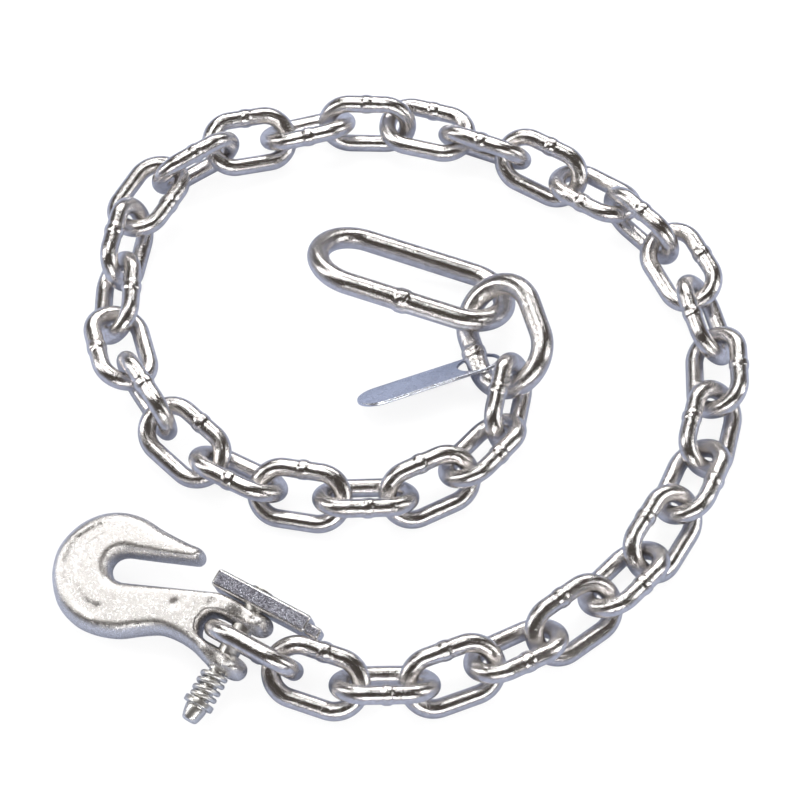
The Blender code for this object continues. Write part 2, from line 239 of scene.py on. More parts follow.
# %% Shared effects
def group_of(name, inputs, outputs):
    """A node group: inputs are (name, kind, default) rows and outputs (name, kind) rows."""
    made = bpy.data.node_groups.new(name, "ShaderNodeTree")
    for label, kind, value in inputs:
        socket = made.interface.new_socket(label, in_out="INPUT", socket_type=kind)
        if value is not None:
            socket.default_value = value
    for label, kind in outputs:
        made.interface.new_socket(label, in_out="OUTPUT", socket_type=kind)
    return made, node(made, "NodeGroupInput"), node(made, "NodeGroupOutput")


NUMBER, COLOR, VECTOR = "NodeSocketFloat", "NodeSocketColor", "NodeSocketVector"
PATCH_RANGE = (0.36, 0.64)  # noise values between which a patch turns from light to dark
SPECK_RANGE = (0.52, 0.68)  # noise values between which a speck shows
SPECK_ROUGHNESS = 0.08


def zinc_skin_group():
    """Patches, specks and orange peel of a zinc skin, as a colour, a roughness and a height."""
    made, given, result = group_of(
        "zinc_skin",
        [
            ("Place", VECTOR, None),
            ("Patch Scale", NUMBER, 260.0),
            ("Speck Scale", NUMBER, 1600.0),
            ("Light", COLOR, (0.9, 0.9, 0.9, 1)),
            ("Dark", COLOR, (0.5, 0.5, 0.5, 1)),
            ("Speck Amount", NUMBER, 0.3),
            ("Smooth", NUMBER, 0.12),
            ("Rough", NUMBER, 0.3),
            ("Speck Height", NUMBER, 0.4),
            ("Swell", NUMBER, 0.7),
        ],
        [("Color", COLOR), ("Roughness", NUMBER), ("Height", NUMBER)],
    )
    patches = node(made, "ShaderNodeTexNoise", Detail=5.0, Roughness=0.62, Distortion=0.6)
    specks = node(made, "ShaderNodeTexNoise", Detail=3.0, Roughness=0.7)
    spread = node(made, "ShaderNodeMapRange", From_Min=PATCH_RANGE[0], From_Max=PATCH_RANGE[1])
    fleck = node(made, "ShaderNodeMapRange", From_Min=SPECK_RANGE[0], From_Max=SPECK_RANGE[1])
    tone = node(made, "ShaderNodeMix", data_type="RGBA")
    flecked = node(made, "ShaderNodeMix", data_type="RGBA")
    share = node(made, "ShaderNodeMath", operation="MULTIPLY")
    polish = node(made, "ShaderNodeMapRange")
    uneven = node(made, "ShaderNodeMath", operation="MULTIPLY_ADD")
    height = node(made, "ShaderNodeMath", operation="MULTIPLY_ADD")
    swell = node(made, "ShaderNodeMath", operation="MULTIPLY")
    uneven.inputs[1].default_value = SPECK_ROUGHNESS
    wire_up(
        made,
        (given.outputs["Place"], patches.inputs["Vector"]),
        (given.outputs["Patch Scale"], patches.inputs["Scale"]),
        (given.outputs["Place"], specks.inputs["Vector"]),
        (given.outputs["Speck Scale"], specks.inputs["Scale"]),
        (patches.outputs["Fac"], spread.inputs["Value"]),
        (specks.outputs["Fac"], fleck.inputs["Value"]),
        (spread.outputs["Result"], tone.inputs["Factor"]),
        (given.outputs["Light"], tone.inputs["A"]),
        (given.outputs["Dark"], tone.inputs["B"]),
        (fleck.outputs["Result"], share.inputs[0]),
        (given.outputs["Speck Amount"], share.inputs[1]),
        (share.outputs[0], flecked.inputs["Factor"]),
        (tone.outputs["Result"], flecked.inputs["A"]),
        (given.outputs["Dark"], flecked.inputs["B"]),
        (flecked.outputs["Result"], result.inputs["Color"]),
        (spread.outputs["Result"], polish.inputs["Value"]),
        (given.outputs["Smooth"], polish.inputs["To Min"]),
        (given.outputs["Rough"], polish.inputs["To Max"]),
        (fleck.outputs["Result"], uneven.inputs[0]),
        (polish.outputs["Result"], uneven.inputs[2]),
        (uneven.outputs[0], result.inputs["Roughness"]),
        (specks.outputs["Fac"], height.inputs[0]),
        (given.outputs["Speck Height"], height.inputs[1]),
        (patches.outputs["Fac"], swell.inputs[0]),
        (given.outputs["Swell"], swell.inputs[1]),
        (swell.outputs[0], height.inputs[2]),
        (height.outputs[0], result.inputs["Height"]),
    )
    return made


def rubbed_edge_group():
    """A colour made lighter where a surface bends outwards, as rubbing polishes it."""
    made, given, result = group_of(
        "rubbed_edge",
        [
            ("Color", COLOR, (0.5, 0.5, 0.5, 1)),
            ("Bend", NUMBER, 0.5),
            ("Bright", COLOR, (0.95, 0.95, 0.95, 1)),
            ("Start", NUMBER, 0.53),
            ("End", NUMBER, 0.62),
        ],
        [("Color", COLOR)],
    )
    sharp = node(made, "ShaderNodeMapRange")
    lit = node(made, "ShaderNodeMix", data_type="RGBA")
    wire_up(
        made,
        (given.outputs["Bend"], sharp.inputs["Value"]),
        (given.outputs["Start"], sharp.inputs["From Min"]),
        (given.outputs["End"], sharp.inputs["From Max"]),
        (sharp.outputs["Result"], lit.inputs["Factor"]),
        (given.outputs["Color"], lit.inputs["A"]),
        (given.outputs["Bright"], lit.inputs["B"]),
        (lit.outputs["Result"], result.inputs["Color"]),
    )
    return made


ZINC_SKIN = zinc_skin_group()
RUBBED_EDGE = rubbed_edge_group()


# %% One finish
def zinc(name, light, dark, peel, **skin_values):
    """A zinc finish: its two tones, the depth of its orange peel in metres, and the values
    of the skin group's other inputs."""
    made = bpy.data.materials.new(name)
    made.use_nodes = True
    tree = made.node_tree
    shader = tree.nodes["Principled BSDF"]
    shader.inputs["Metallic"].default_value = 1
    place = node(tree, "ShaderNodeTexCoord")
    skin = node(tree, "ShaderNodeGroup")
    skin.node_tree = ZINC_SKIN
    skin.inputs["Light"].default_value = (*light, 1)
    skin.inputs["Dark"].default_value = (*dark, 1)
    for label, value in skin_values.items():
        skin.inputs[label.replace("_", " ").title()].default_value = value
    edge = node(tree, "ShaderNodeGroup")
    edge.node_tree = RUBBED_EDGE
    shape = node(tree, "ShaderNodeNewGeometry")
    bump = node(tree, "ShaderNodeBump", Strength=1.0, Distance=peel)
    wire_up(
        tree,
        (place.outputs["Object"], skin.inputs["Place"]),
        (skin.outputs["Color"], edge.inputs["Color"]),
        (shape.outputs["Pointiness"], edge.inputs["Bend"]),
        (edge.outputs["Color"], shader.inputs["Base Color"]),
        (skin.outputs["Roughness"], shader.inputs["Roughness"]),
        (skin.outputs["Height"], bump.inputs["Height"]),
        (bump.outputs["Normal"], shader.inputs["Normal"]),
    )
    return made


# %% [markdown]
# ## Seven finishes
# Drawn wire is the brightest and keeps long streaks. The forging is satin with fine specks,
# the turned pin and the spring are softer still, the plate's flat sides are bright, its
# sheared edge is coarse and dark, and the tag is smooth cold-rolled sheet.

# %% Finishes
LINK_ZINC = zinc(
    "link_zinc", (0.88, 0.86, 0.85), (0.62, 0.59, 0.57), 0.00021,
    patch_scale=420, speck_scale=2300, speck_amount=0.6, smooth=0.11, rough=0.23,
)
FORGED_ZINC = zinc(
    "forged_zinc", (0.96, 0.94, 0.92), (0.70, 0.67, 0.64), 0.00024,
    patch_scale=620, speck_scale=2500, speck_amount=0.9, smooth=0.25, rough=0.32,
    speck_height=0.58, swell=0.2,
)
PIN_ZINC = zinc(
    "pin_zinc", (0.88, 0.87, 0.84), (0.66, 0.64, 0.60), 0.00003,
    patch_scale=420, speck_scale=2200, speck_amount=0.3, smooth=0.27, rough=0.36,
)
SPRING_ZINC = zinc(
    "spring_zinc", (0.95, 0.94, 0.91), (0.74, 0.72, 0.68), 0.00001,
    patch_scale=420, speck_scale=2200, speck_amount=0.3, smooth=0.3, rough=0.38,
)
PLATE_ZINC = zinc(
    "plate_zinc", (0.84, 0.83, 0.82), (0.58, 0.56, 0.54), 0.0002,
    patch_scale=300, speck_scale=1900, speck_amount=0.3, smooth=0.16, rough=0.28,
)
SHEARED_ZINC = zinc(
    "sheared_zinc", (0.70, 0.71, 0.80), (0.15, 0.14, 0.17), 0.0012,
    patch_scale=900, speck_scale=1900, speck_amount=0.8, smooth=0.22, rough=0.42,
)
TAG_ZINC = zinc(
    "tag_zinc", (0.82, 0.85, 0.92), (0.66, 0.69, 0.77), 0.00008,
    patch_scale=240, speck_scale=1900, speck_amount=0.25, smooth=0.2, rough=0.3,
)
print("finishes", [name for name in bpy.data.materials.keys() if name.endswith("_zinc")])


# %% [markdown]
# ## Surfaces from arrays
# A closed tube is a grid: one number runs along a path and the other round it. The path
# gives a middle line and two directions across it, so every vertex comes from one formula
# and the whole grid is worked out at once.


# %% Grid and piece helpers
def grid_faces(rows, columns, rows_closed=True, columns_closed=True):
    """Quads of a grid of rows by columns vertices, wrapped round where closed."""
    i, j = np.meshgrid(
        np.arange(rows if rows_closed else rows - 1),
        np.arange(columns if columns_closed else columns - 1),
        indexing="ij",
    )
    k, m = (i + 1) % rows, (j + 1) % columns
    corners = (i * columns + j, k * columns + j, k * columns + m, i * columns + m)
    return np.stack(corners, axis=-1).reshape(-1, 4)


def outwards(points, faces):
    """The faces turned round if the closed shell they make has a negative volume."""
    a, b, c = points[faces[:, 0]], points[faces[:, 1]], points[faces[:, 2]]
    volume = np.einsum("ij,ij->", a, np.cross(b, c))
    if faces.shape[1] == 4:
        d = points[faces[:, 3]]
        volume += np.einsum("ij,ij->", a, np.cross(c, d))
    return faces if volume > 0 else faces[:, ::-1]


def mesh_of(name, points, face_lists):
    """A mesh from an array of points and lists of face arrays."""
    mesh = bpy.data.meshes.new(name)
    faces = [tuple(face) for faces in face_lists for face in np.asarray(faces).tolist()]
    mesh.from_pydata(np.asarray(points).tolist(), [], faces)
    mesh.update()
    return mesh


def piece(name, mesh, material, body, slot, *nodes, sharp=None):
    """A finished piece that rides on a body and stands for some of the nodes."""
    mesh.shade_smooth()
    if sharp is not None:
        mesh.set_sharp_from_angle(angle=math.radians(sharp))
    mesh.materials.append(material)
    made = bpy.data.objects.new(name, mesh)
    bpy.context.scene.collection.objects.link(made)
    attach(made, body)
    if nodes:
        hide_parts(*nodes)
    return made


def placed(points, matrix):
    """Points turned and moved by a 4 by 4 matrix."""
    m = np.array(matrix)
    return points @ m[:3, :3].T + m[:3, 3]


# %% Where a frame's node lies
def node_axes(name):
    """A node's vertices, and the three directions in which they spread most, less and least."""
    mesh = frame["nodes"][name].data
    points = np.empty(len(mesh.vertices) * 3, np.float32)
    mesh.vertices.foreach_get("co", points)
    points = np.unique(points.reshape(-1, 3).round(7), axis=0).astype(float)
    _, _, axes = np.linalg.svd(points - points.mean(0), full_matrices=False)
    return points, axes


def box_place(points, axes):
    """A 4 by 4 matrix with these axes, at the middle of the points' box along them."""
    local = points @ axes.T
    matrix = np.eye(4)
    matrix[:3, :3] = axes.T
    matrix[:3, 3] = (local.max(0) + local.min(0)) / 2 @ axes
    return matrix


# %% [markdown]
# ## Welded rings
# A chain link is a cut length of wire, bent until its ends meet and butt-welded there. The
# weld stands a little proud, like a narrow collar halfway along one leg. The rings could be
# curves with a round bevel, but then the bead would be a separate lump. As a grid, the bead
# is one more term in the wire's radius, and it joins the leg with no seam.


# %% The ring surface
RIPPLE = 0.003  # size of each slow wave in the wire's radius, as a share of it
LUMPS = ((3, 0.16), (5, 0.1))  # waves round the weld bead, and their share of its height


def stadium_path(inside_length, inside_width, wire, along):
    """A stadium: leg, half circle, leg, half circle. For even steps s along it, gives s, the
    whole length, the middle line and the direction straight out of the ring."""
    bend = (inside_width + wire) / 2
    leg = inside_length - inside_width
    half = leg + math.pi * bend
    s = np.arange(along) / along * 2 * half
    second = s >= half
    on_half = s - second * half
    angle = np.maximum(on_half - leg, 0) / bend + second * math.pi
    x = np.where(second, -1, 1) * (np.minimum(on_half, leg) - leg / 2)
    side = np.stack([np.sin(angle), np.cos(angle), np.zeros_like(angle)], axis=1)
    middle = side * bend
    middle[:, 0] += x
    return s, 2 * half, middle, side


def ring_points(wire, inside_length, inside_width, bead, along, around, seed):
    """A wire of radius r(1 + bump(s) + ripple(s, v)) along a stadium, where bump is a
    flat-topped collar at the middle of the leg at +Y, and ripple is a slight unevenness."""
    s, total, middle, side = stadium_path(inside_length, inside_width, wire, along)
    bead_reach, bead_height = bead
    gap = s - (inside_length - inside_width) / 2
    gap = np.minimum(np.abs(gap), total - np.abs(gap)) / bead_reach
    bump = bead_height / (wire / 2) * np.exp(-(gap**6))
    v = np.arange(around) / around * 2 * math.pi
    random = np.random.default_rng(seed)
    ripple = np.zeros((along, around))
    for waves in range(1, 4):
        for turns in range(0, 3):
            size = RIPPLE * random.normal()
            shift = random.uniform(0, 2 * math.pi)
            phase = 2 * math.pi * waves * s[:, None] / total + turns * v + shift
            ripple += size * np.cos(phase)
    lumpy = sum(size * np.cos(waves * v + random.uniform(0, 6)) for waves, size in LUMPS)
    radius = wire / 2 * (1 + ripple + bump[:, None] * (1 + lumpy))
    across = np.cos(v)[None, :, None] * side[:, None, :]
    up = np.sin(v)[None, :, None] * np.array([0, 0, 1.0])
    points = middle[:, None, :] + radius[:, :, None] * (across + up)
    return points.reshape(-1, 3), grid_faces(along, around)


# %% [markdown]
# ## Rings in their places
# The frame knows where each link lies. The directions in which a node's vertices spread most,
# less and least are the ring's length, width and thickness, so each welded ring is laid there
# with no typed place.

# %% Chain, coupling link and master link
# wire, inside length and inside width
CHAIN_SIZES = (9.6 * MM, 36.2 * MM, 17.1 * MM)
COUPLING_SIZES = (12 * MM, 48 * MM, 29 * MM)
MASTER_SIZES = (12 * MM, 93 * MM, 32 * MM)
# half the weld bead's width, and its height
CHAIN_BEAD = (2.3 * MM, 0.55 * MM)
COUPLING_BEAD = (3 * MM, 0.7 * MM)
MASTER_BEAD = (3.2 * MM, 0.8 * MM)
# vertices along the wire and round it
CHAIN_GRID, COUPLING_GRID, MASTER_GRID = (176, 30), (200, 36), (280, 36)
COUPLING_SEED, MASTER_SEED = 101, 102


def ring(name, body, sizes, bead, grid, seed, flip=False):
    """A welded ring in place of a node, with its bead on the upper leg, or on the lower leg
    where it is flipped."""
    points, (long, short, _) = node_axes(name)
    if short[2] < 0:
        short = -short
    matrix = box_place(points, np.stack([long, short, np.cross(long, short)]))
    if flip:
        matrix[:3, 0] *= -1
        matrix[:3, 1] *= -1
    points, faces = ring_points(*sizes, bead, *grid, seed)
    points = placed(points, matrix)
    mesh = mesh_of(name + "_welded", points, [outwards(points, faces)])
    return piece(name + "_welded", mesh, LINK_ZINC, body, "link_zinc", name)


links = sorted(name for name in frame["nodes"] if name.startswith("chain_link"))
for i, name in enumerate(links):
    ring(name, name, CHAIN_SIZES, CHAIN_BEAD, CHAIN_GRID, i, flip=i == 0)
ring(
    "coupling_link", "coupling", COUPLING_SIZES, COUPLING_BEAD, COUPLING_GRID, COUPLING_SEED,
    flip=True,
)
ring("master_link", "master", MASTER_SIZES, MASTER_BEAD, MASTER_GRID, MASTER_SEED)
print("rings", len(links) + 2)

# %% [markdown]
# ## Slabs with rounded edges
# The forged hook, the latch plate and the tag are all slabs: an outline with a thickness and
# a rounded edge. A plain extrude and bevel breaks where the outline is tight. Here rings of
# points follow the outline at growing distances, a plain grid fills the middle, and one
# triangulation joins them. The height of each point is a formula of its distance from the
# outline, so edges, dimples and grooves are all part of one surface.


# %% Outline helpers
ARC_POINTS = 9  # points on each rounded corner, before it is resampled


def even_steps(rows, spacing):
    """A closed line of rows of numbers, resampled to even steps in x and y."""
    closed = np.vstack([rows, rows[:1]])
    steps = np.linalg.norm(np.diff(closed[:, :2], axis=0), axis=1)
    run = np.concatenate([[0], np.cumsum(steps)])
    count = int(round(run[-1] / spacing))
    marks = np.arange(count) / count * run[-1]
    return np.stack([np.interp(marks, run, column) for column in closed.T], axis=1)


def smooth_loop(controls, spacing, between=24):
    """A closed Catmull-Rom curve through rows of numbers: between b and c it is the cubic
    that passes through both, with slopes (c - a) / 2 and (d - b) / 2."""
    rows = np.asarray(controls, float)
    a, b, c, d = (np.roll(rows, -k, 0)[:, None, :] for k in (-1, 0, 1, 2))
    t = np.linspace(0, 1, between, endpoint=False)[:, None]
    cubic = 2 * b + (c - a) * t + (2 * a - 5 * b + 4 * c - d) * t**2
    cubic += (3 * b - a - 3 * c + d) * t**3
    return even_steps(0.5 * cubic.reshape(-1, rows.shape[1]), spacing)


def rounded_loop(corners, radius, spacing):
    """A polygon's outline with each corner a circular arc, resampled to even steps."""
    corners = np.asarray(corners, float)
    points = []
    for before, corner, after in zip(np.roll(corners, 1, 0), corners, np.roll(corners, -1, 0)):
        a = (before - corner) / np.linalg.norm(before - corner)
        b = (after - corner) / np.linalg.norm(after - corner)
        half = math.acos(np.clip(a @ b, -1, 1)) / 2
        reach = radius / math.tan(half)
        centre = corner + (a + b) / np.linalg.norm(a + b) * radius / math.sin(half)
        start, end = corner + a * reach - centre, corner + b * reach - centre
        first = math.atan2(start[1], start[0])
        sweep = (math.atan2(end[1], end[0]) - first + math.pi) % (2 * math.pi) - math.pi
        turns = first + sweep * np.linspace(0, 1, ARC_POINTS)
        points.append(centre + radius * np.stack([np.cos(turns), np.sin(turns)], axis=1))
    return even_steps(np.concatenate(points), spacing)


# %% Distance and inside tests
BATCH = 2000  # points measured at once, to keep the arrays small


def batches(points):
    """The points in parts of at most one batch."""
    return [points[first : first + BATCH] for first in range(0, len(points), BATCH)]


def segments(loops):
    """The start and end points of all segments of closed outlines."""
    return np.concatenate(loops), np.concatenate([np.roll(loop, -1, 0) for loop in loops])


def nearest(points, loops):
    """Distance from each point to the nearest outline segment, and that segment's index."""
    starts, ends = segments(loops)
    span = ends - starts
    size = np.maximum((span**2).sum(1), 1e-16)  # never divides by zero
    found, index = [], []
    for part in batches(points):
        t = np.clip(((part[:, None, :] - starts) * span).sum(2) / size, 0, 1)
        gap = np.linalg.norm(part[:, None, :] - (starts + t[:, :, None] * span), axis=2)
        index.append(gap.argmin(1))
        found.append(gap.min(1))
    return np.concatenate(found), np.concatenate(index)


def inside(points, loops):
    """True where a point lies within the outline and outside its holes: a line from it
    towards -X crosses the segments an odd number of times."""
    starts, ends = segments(loops)
    sloped = starts[:, 1] != ends[:, 1]
    starts, ends = starts[sloped], ends[sloped]
    low, high = np.minimum(starts[:, 1], ends[:, 1]), np.maximum(starts[:, 1], ends[:, 1])
    run, rise = (ends - starts).T
    found = []
    for part in batches(points):
        x, y = part[:, :1], part[:, 1:]
        level = (y >= low) & (y < high)
        crossed = level & (x < starts[:, 0] + (y - starts[:, 1]) * run / rise)
        found.append(crossed.sum(1) % 2 == 1)
    return np.concatenate(found)


# %% Slab surface
NEAR_ENOUGH = 0.97  # share of its step that a ring's point keeps from the outline
MERGE = 1e-5  # points closer than this, in millimetres, become one


def inner_rings(loops, steps):
    """Copies of the outlines moved inwards by each step. Points that a tight corner has
    brought closer to another part of the outline are left out."""
    rings = []
    for loop in loops:
        along = np.roll(loop, -1, 0) - np.roll(loop, 1, 0)
        side = np.stack([-along[:, 1], along[:, 0]], axis=1)
        side /= np.linalg.norm(side, axis=1)[:, None]
        if not inside(loop[:1] + side[:1] * steps[0], loops)[0]:
            side = -side
        rings += [loop + side * step for step in steps]
    wanted = np.concatenate([np.full(len(loop), step) for loop in loops for step in steps])
    offset = np.concatenate(rings)
    gap, _ = nearest(offset, loops)
    return offset[(gap > wanted * NEAR_ENOUGH) & inside(offset, loops)]


def filling(loops, margin, spacing):
    """A grid with every second row shifted, within the outlines and clear of their edges."""
    outline = np.concatenate(loops)
    low, high = outline.min(0), outline.max(0)
    x, y = np.meshgrid(np.arange(low[0], high[0], spacing), np.arange(low[1], high[1], spacing))
    x[1::2] += spacing / 2
    points = np.stack([x.ravel(), y.ravel()], axis=1)
    points = points[inside(points, loops)]
    gap, _ = nearest(points, loops)
    return points[gap > margin]


def flat_net(loops, points):
    """Triangles over the outlines and the points within them, all facing up."""
    edges, start = [], 0
    for loop in loops:
        i = np.arange(len(loop))
        edges += [(a, b) for a, b in (start + np.stack([i, np.roll(i, -1)], axis=1)).tolist()]
        start += len(loop)
    every = np.concatenate([*loops, points]) / MM
    flat, _, faces, *_ = geometry.delaunay_2d_cdt(
        [Vector(point) for point in every.tolist()], edges, [], 1, MERGE
    )
    flat = np.array([tuple(point) for point in flat]) * MM
    faces = np.array([tuple(face) for face in faces])
    faces = faces[inside(flat[faces].mean(1), loops)]
    used, faces = np.unique(faces, return_inverse=True)
    flat, faces = flat[used], faces.reshape(-1, 3)
    a, b, c = flat[faces[:, 0]], flat[faces[:, 1]], flat[faces[:, 2]]
    area = np.cross(b - a, c - a)
    faces[area < 0] = faces[area < 0][:, ::-1]
    return flat, faces


def slab(loops, steps, spacing, height):
    """A closed slab: a flat net of triangles, lifted by height(points, distance, segment),
    its mirror image below, and a wall of quads where the net ends."""
    inner = [inner_rings(loops, steps), filling(loops, steps[-1] + spacing * 0.5, spacing)]
    flat, faces = flat_net(loops, np.concatenate(inner))
    gap, segment = nearest(flat, loops)
    top = np.column_stack([flat, height(flat, gap, segment)])
    under = top * (1, 1, -1)
    count = len(flat)
    lines = np.concatenate([faces[:, [0, 1]], faces[:, [1, 2]], faces[:, [2, 0]]])
    key = np.sort(lines, 1) @ (count, 1)
    _, where, times = np.unique(key, return_index=True, return_counts=True)
    rim = lines[where[times == 1]]
    wall = np.column_stack([rim[:, 1], rim[:, 0], rim[:, 0] + count, rim[:, 1] + count])
    return np.concatenate([top, under]), [faces, faces[:, ::-1] + count, wall]


# %% Profiles of an edge and of a hollow
def rounded(distance, radius):
    """A quarter circle's rise from 0 to 1 over a distance equal to its radius."""
    q = np.clip(distance / radius, 0, 1)
    return np.sqrt(1 - (1 - q) ** 2)


def dip(distance, reach):
    """A smooth hollow: 1 at its middle and 0 at its reach."""
    return np.clip(1 - (distance / reach) ** 2, 0, 1) ** 2


# %% [markdown]
# ## The forged hook
# A grab hook is drop-forged: a flat bowl with a narrow throat that fits one link on edge, a
# shank, and a fork whose ball-shaped ears hold the pin. The dies leave wide soft edges
# outside, a flared throat and a shallow channel round the bowl's face.

# %% Hook place
JOINTS = {joint["name"]: joint for joint in frame["joints"]}
ALONG_PIN = Vector(JOINTS["pin_slide"]["axis"]).normalized()
PIN_AT = Vector(JOINTS["latch_swing"]["pos_m"])
HEADING = math.radians(-30)  # the way out of the fork, seen from above
OUT_OF_FORK = Vector((math.cos(HEADING), math.sin(HEADING), 0))
OUT_OF_FORK = (OUT_OF_FORK - OUT_OF_FORK.dot(ALONG_PIN) * ALONG_PIN).normalized()
FACE_UP = OUT_OF_FORK.cross(ALONG_PIN)
HOOK_AXES = Matrix((OUT_OF_FORK, ALONG_PIN, FACE_UP)).transposed()
HOOK = Matrix.Translation(PIN_AT) @ HOOK_AXES.to_4x4()
print("hook's face leans", round(math.degrees(math.acos(FACE_UP.z)), 1), "degrees")

# %% Hook outline
# (x, y, rounding) in millimetres: out of the fork, along the pin, and the edge's radius
HOOK_CONTROLS = [
    (8.6, 6.9, 4.6), (12.6, 8.6, 5.5), (14.4, 12.4, 5.6), (12.6, 16.2, 5.5), (8.6, 17.9, 5.0),
    (0, 18.0, 4.2), (-8, 17.95, 3.6), (-14, 17.7, 3.0), (-19.0, 16.7, 2.6), (-30, 12.5, 2.8),
    (-42, 7.9, 3.4), (-54, 3.3, 4.6), (-62, 0.2, 5.4), (-66, -1.2, 5.8), (-70.7, -1.2, 5.9),
    (-74.2, 1.7, 5.9), (-75.2, 5.2, 5.9), (-74.2, 8.7, 5.9), (-70.8, 11.7, 5.8),
    (-64, 14.3, 5.2), (-54, 18.1, 4.0), (-45, 21.6, 3.2), (-39.6, 23.7, 3.0), (-36.4, 25.2, 3.4),
    (-34.9, 28.2, 3.8), (-36.1, 31.1, 3.8), (-39.4, 32.4, 3.8), (-46.4, 32.0, 5.0),
    (-59.9, 32.0, 5.8), (-73.0, 32.9, 6.2), (-84.1, 30.5, 6.2), (-93.4, 24.7, 6.2),
    (-100.4, 15.6, 6.2), (-103.9, 4.5, 6.2), (-103.6, -5.0, 6.2), (-99.0, -16.0, 6.2),
    (-89.2, -26.2, 6.2), (-77.6, -30.7, 6.2), (-66.4, -30.6, 6.2), (-53.9, -26.7, 6.2),
    (-43.1, -19.5, 6.0), (-35, -14.9, 5.8), (-26, -13.5, 5.4), (-17, -14.1, 5.0),
    (-9.5, -16.2, 4.0), (-4, -17.7, 4.0), (2, -18.0, 4.4), (8.0, -17.9, 5.0),
    (12.0, -16.2, 5.5), (13.6, -12.4, 5.6), (12.0, -8.6, 5.5), (8.0, -6.9, 4.6), (2, -6.8, 4.2),
    (-6, -6.8, 3.4), (-12.5, -6.7, 2.8), (-16.6, -4.9, 2.6), (-18.4, 0, 2.6), (-16.6, 4.9, 2.6),
    (-12.5, 6.7, 2.8), (-6, 6.8, 3.4), (2, 6.8, 4.2),
]
OUTLINE_STEP, NET_STEP = 0.85 * MM, 1.15 * MM
hook_loop = smooth_loop(np.array(HOOK_CONTROLS) * MM, OUTLINE_STEP)
hook_edge = hook_loop[:, 2]
print("hook outline", len(hook_loop), "points")

# %% [markdown]
# ## The hook's surface
# Half the hook's thickness is one formula. It starts from a rounded step at the outline,
# thins towards the fork, swells into a ball on each ear, and takes away a shallow channel
# round the bowl and two thumb-sized dimples. A larger-of-two with a soft corner joins the
# ball to the fork, so no crease shows.

# %% Hook surface
HALF_THICK = 9.5 * MM
FORK_THINNER, FORK_FROM, FORK_TO = 2.3 * MM, -11 * MM, -1 * MM
EAR_END_SHARE = 0.6  # share of the thickness that the ears lose beyond the pin
EAR_FROM, EAR_TO = 5 * MM, 14 * MM
EDGE_SHARE = 0.96  # share of the thickness that is rounded; the rest is a straight wall
BALL_AT, BALL_RADIUS, BALL_HEIGHT, BALL_EDGE = (7.0, 12.4), 7.4 * MM, 9.6 * MM, 5.4 * MM
SOFT_JOIN = 0.8 * MM
CHANNEL_DEPTH, CHANNEL_INNER, CHANNEL_OUTER = 0.55 * MM, 2.3 * MM, 3.9 * MM
CHANNEL = np.array([
    (-88.7, 16.5), (-94.5, 5.3), (-93, -5.7), (-87, -14.2), (-78.5, -20.2), (-69.8, -21.4),
    (-67.9, -20.1),
]) * MM
DIMPLES = (((-34.1, 1.1), 0.8 * MM), ((-17.7, 9.6), 0.7 * MM))  # place in mm, and depth
DIMPLE_REACH = 3.4 * MM


def to_path(points, path):
    """Distance from each point to an open path."""
    span = np.diff(path, axis=0)
    t = ((points[:, None, :] - path[:-1]) * span).sum(2) / (span**2).sum(1)
    spots = path[:-1] + np.clip(t, 0, 1)[:, :, None] * span
    return np.linalg.norm(points[:, None, :] - spots, axis=2).min(1)


def fade(value, start, end):
    """Rises smoothly from 0 at start to 1 at end."""
    t = np.clip((value - start) / (end - start), 0, 1)
    return t * t * (3 - 2 * t)


def from_spot(x, y, spot):
    """Distance from a spot given in millimetres."""
    return np.hypot(x - spot[0] * MM, y - spot[1] * MM)


def larger(a, b, soft):
    """The larger of two heights, with the corner between them rounded off."""
    return (a + b + np.sqrt((a - b) ** 2 + soft**2)) / 2 - soft**2 / 4 / (a + b + soft)


def hook_height(points, distance, segment):
    """Half thickness: a rounded step at the outline, fuller at the ears, less the channel."""
    x, y = points.T
    thick = HALF_THICK - FORK_THINNER * fade(x, FORK_FROM, FORK_TO)
    thick *= 1 - EAR_END_SHARE * fade(x, EAR_FROM, EAR_TO)
    edge = rounded(distance, hook_edge[segment])
    z = thick * (1 - EDGE_SHARE + EDGE_SHARE * edge)
    off = from_spot(x, np.abs(y), BALL_AT) / BALL_RADIUS
    ball = BALL_HEIGHT * np.sqrt(np.clip(1 - off**2, 0, 1)) * rounded(distance, BALL_EDGE)
    z = larger(z, ball, SOFT_JOIN)
    z -= CHANNEL_DEPTH * (1 - fade(to_path(points, CHANNEL), CHANNEL_INNER, CHANNEL_OUTER))
    for spot, depth in DIMPLES:
        z -= depth * dip(from_spot(x, y, spot), DIMPLE_REACH)
    return z


HOOK_STEPS = np.array([0.04, 0.16, 0.4, 0.8, 1.4, 2.2, 3.2, 4.5, 6.0]) * MM
points, faces = slab([hook_loop[:, :2]], HOOK_STEPS, NET_STEP, hook_height)
hook_mesh = mesh_of("forged_hook", points, faces)
print("hook", len(points), "points")

# %% [markdown]
# ## The pin's bore
# The pin passes through both ears. The bore is drilled after forging, so here too a closed
# cylinder is taken away from the finished surface with a Boolean, which keeps its rim sharp.


# %% Turned shapes
def turned(profile, sides=72):
    """A profile of (radius, height) rows in millimetres, carried round the Y axis."""
    profile = np.asarray(profile, float) * MM
    turns = np.arange(sides) / sides * 2 * math.pi
    ring_x = profile[:, :1] * np.cos(turns)
    ring_z = profile[:, :1] * np.sin(turns)
    ring_y = np.repeat(profile[:, 1:], sides, axis=1)
    return np.stack([ring_x, ring_y, ring_z], axis=2).reshape(-1, 3)


def solid_of_turn(name, profile, matrix, sides=72):
    """A turned solid, closed at both ends by a face across its first and last row."""
    points = turned(profile, sides)
    side = grid_faces(len(profile), sides, rows_closed=False)
    rim = np.arange(sides)
    caps = [rim[None, :], (len(points) - sides + rim)[None, ::-1]]
    return mesh_of(name, placed(points, matrix), [side, *caps])


# %% Pin bore through the ears
BORE_RADIUS, BORE_SIDES = 5.95, 64


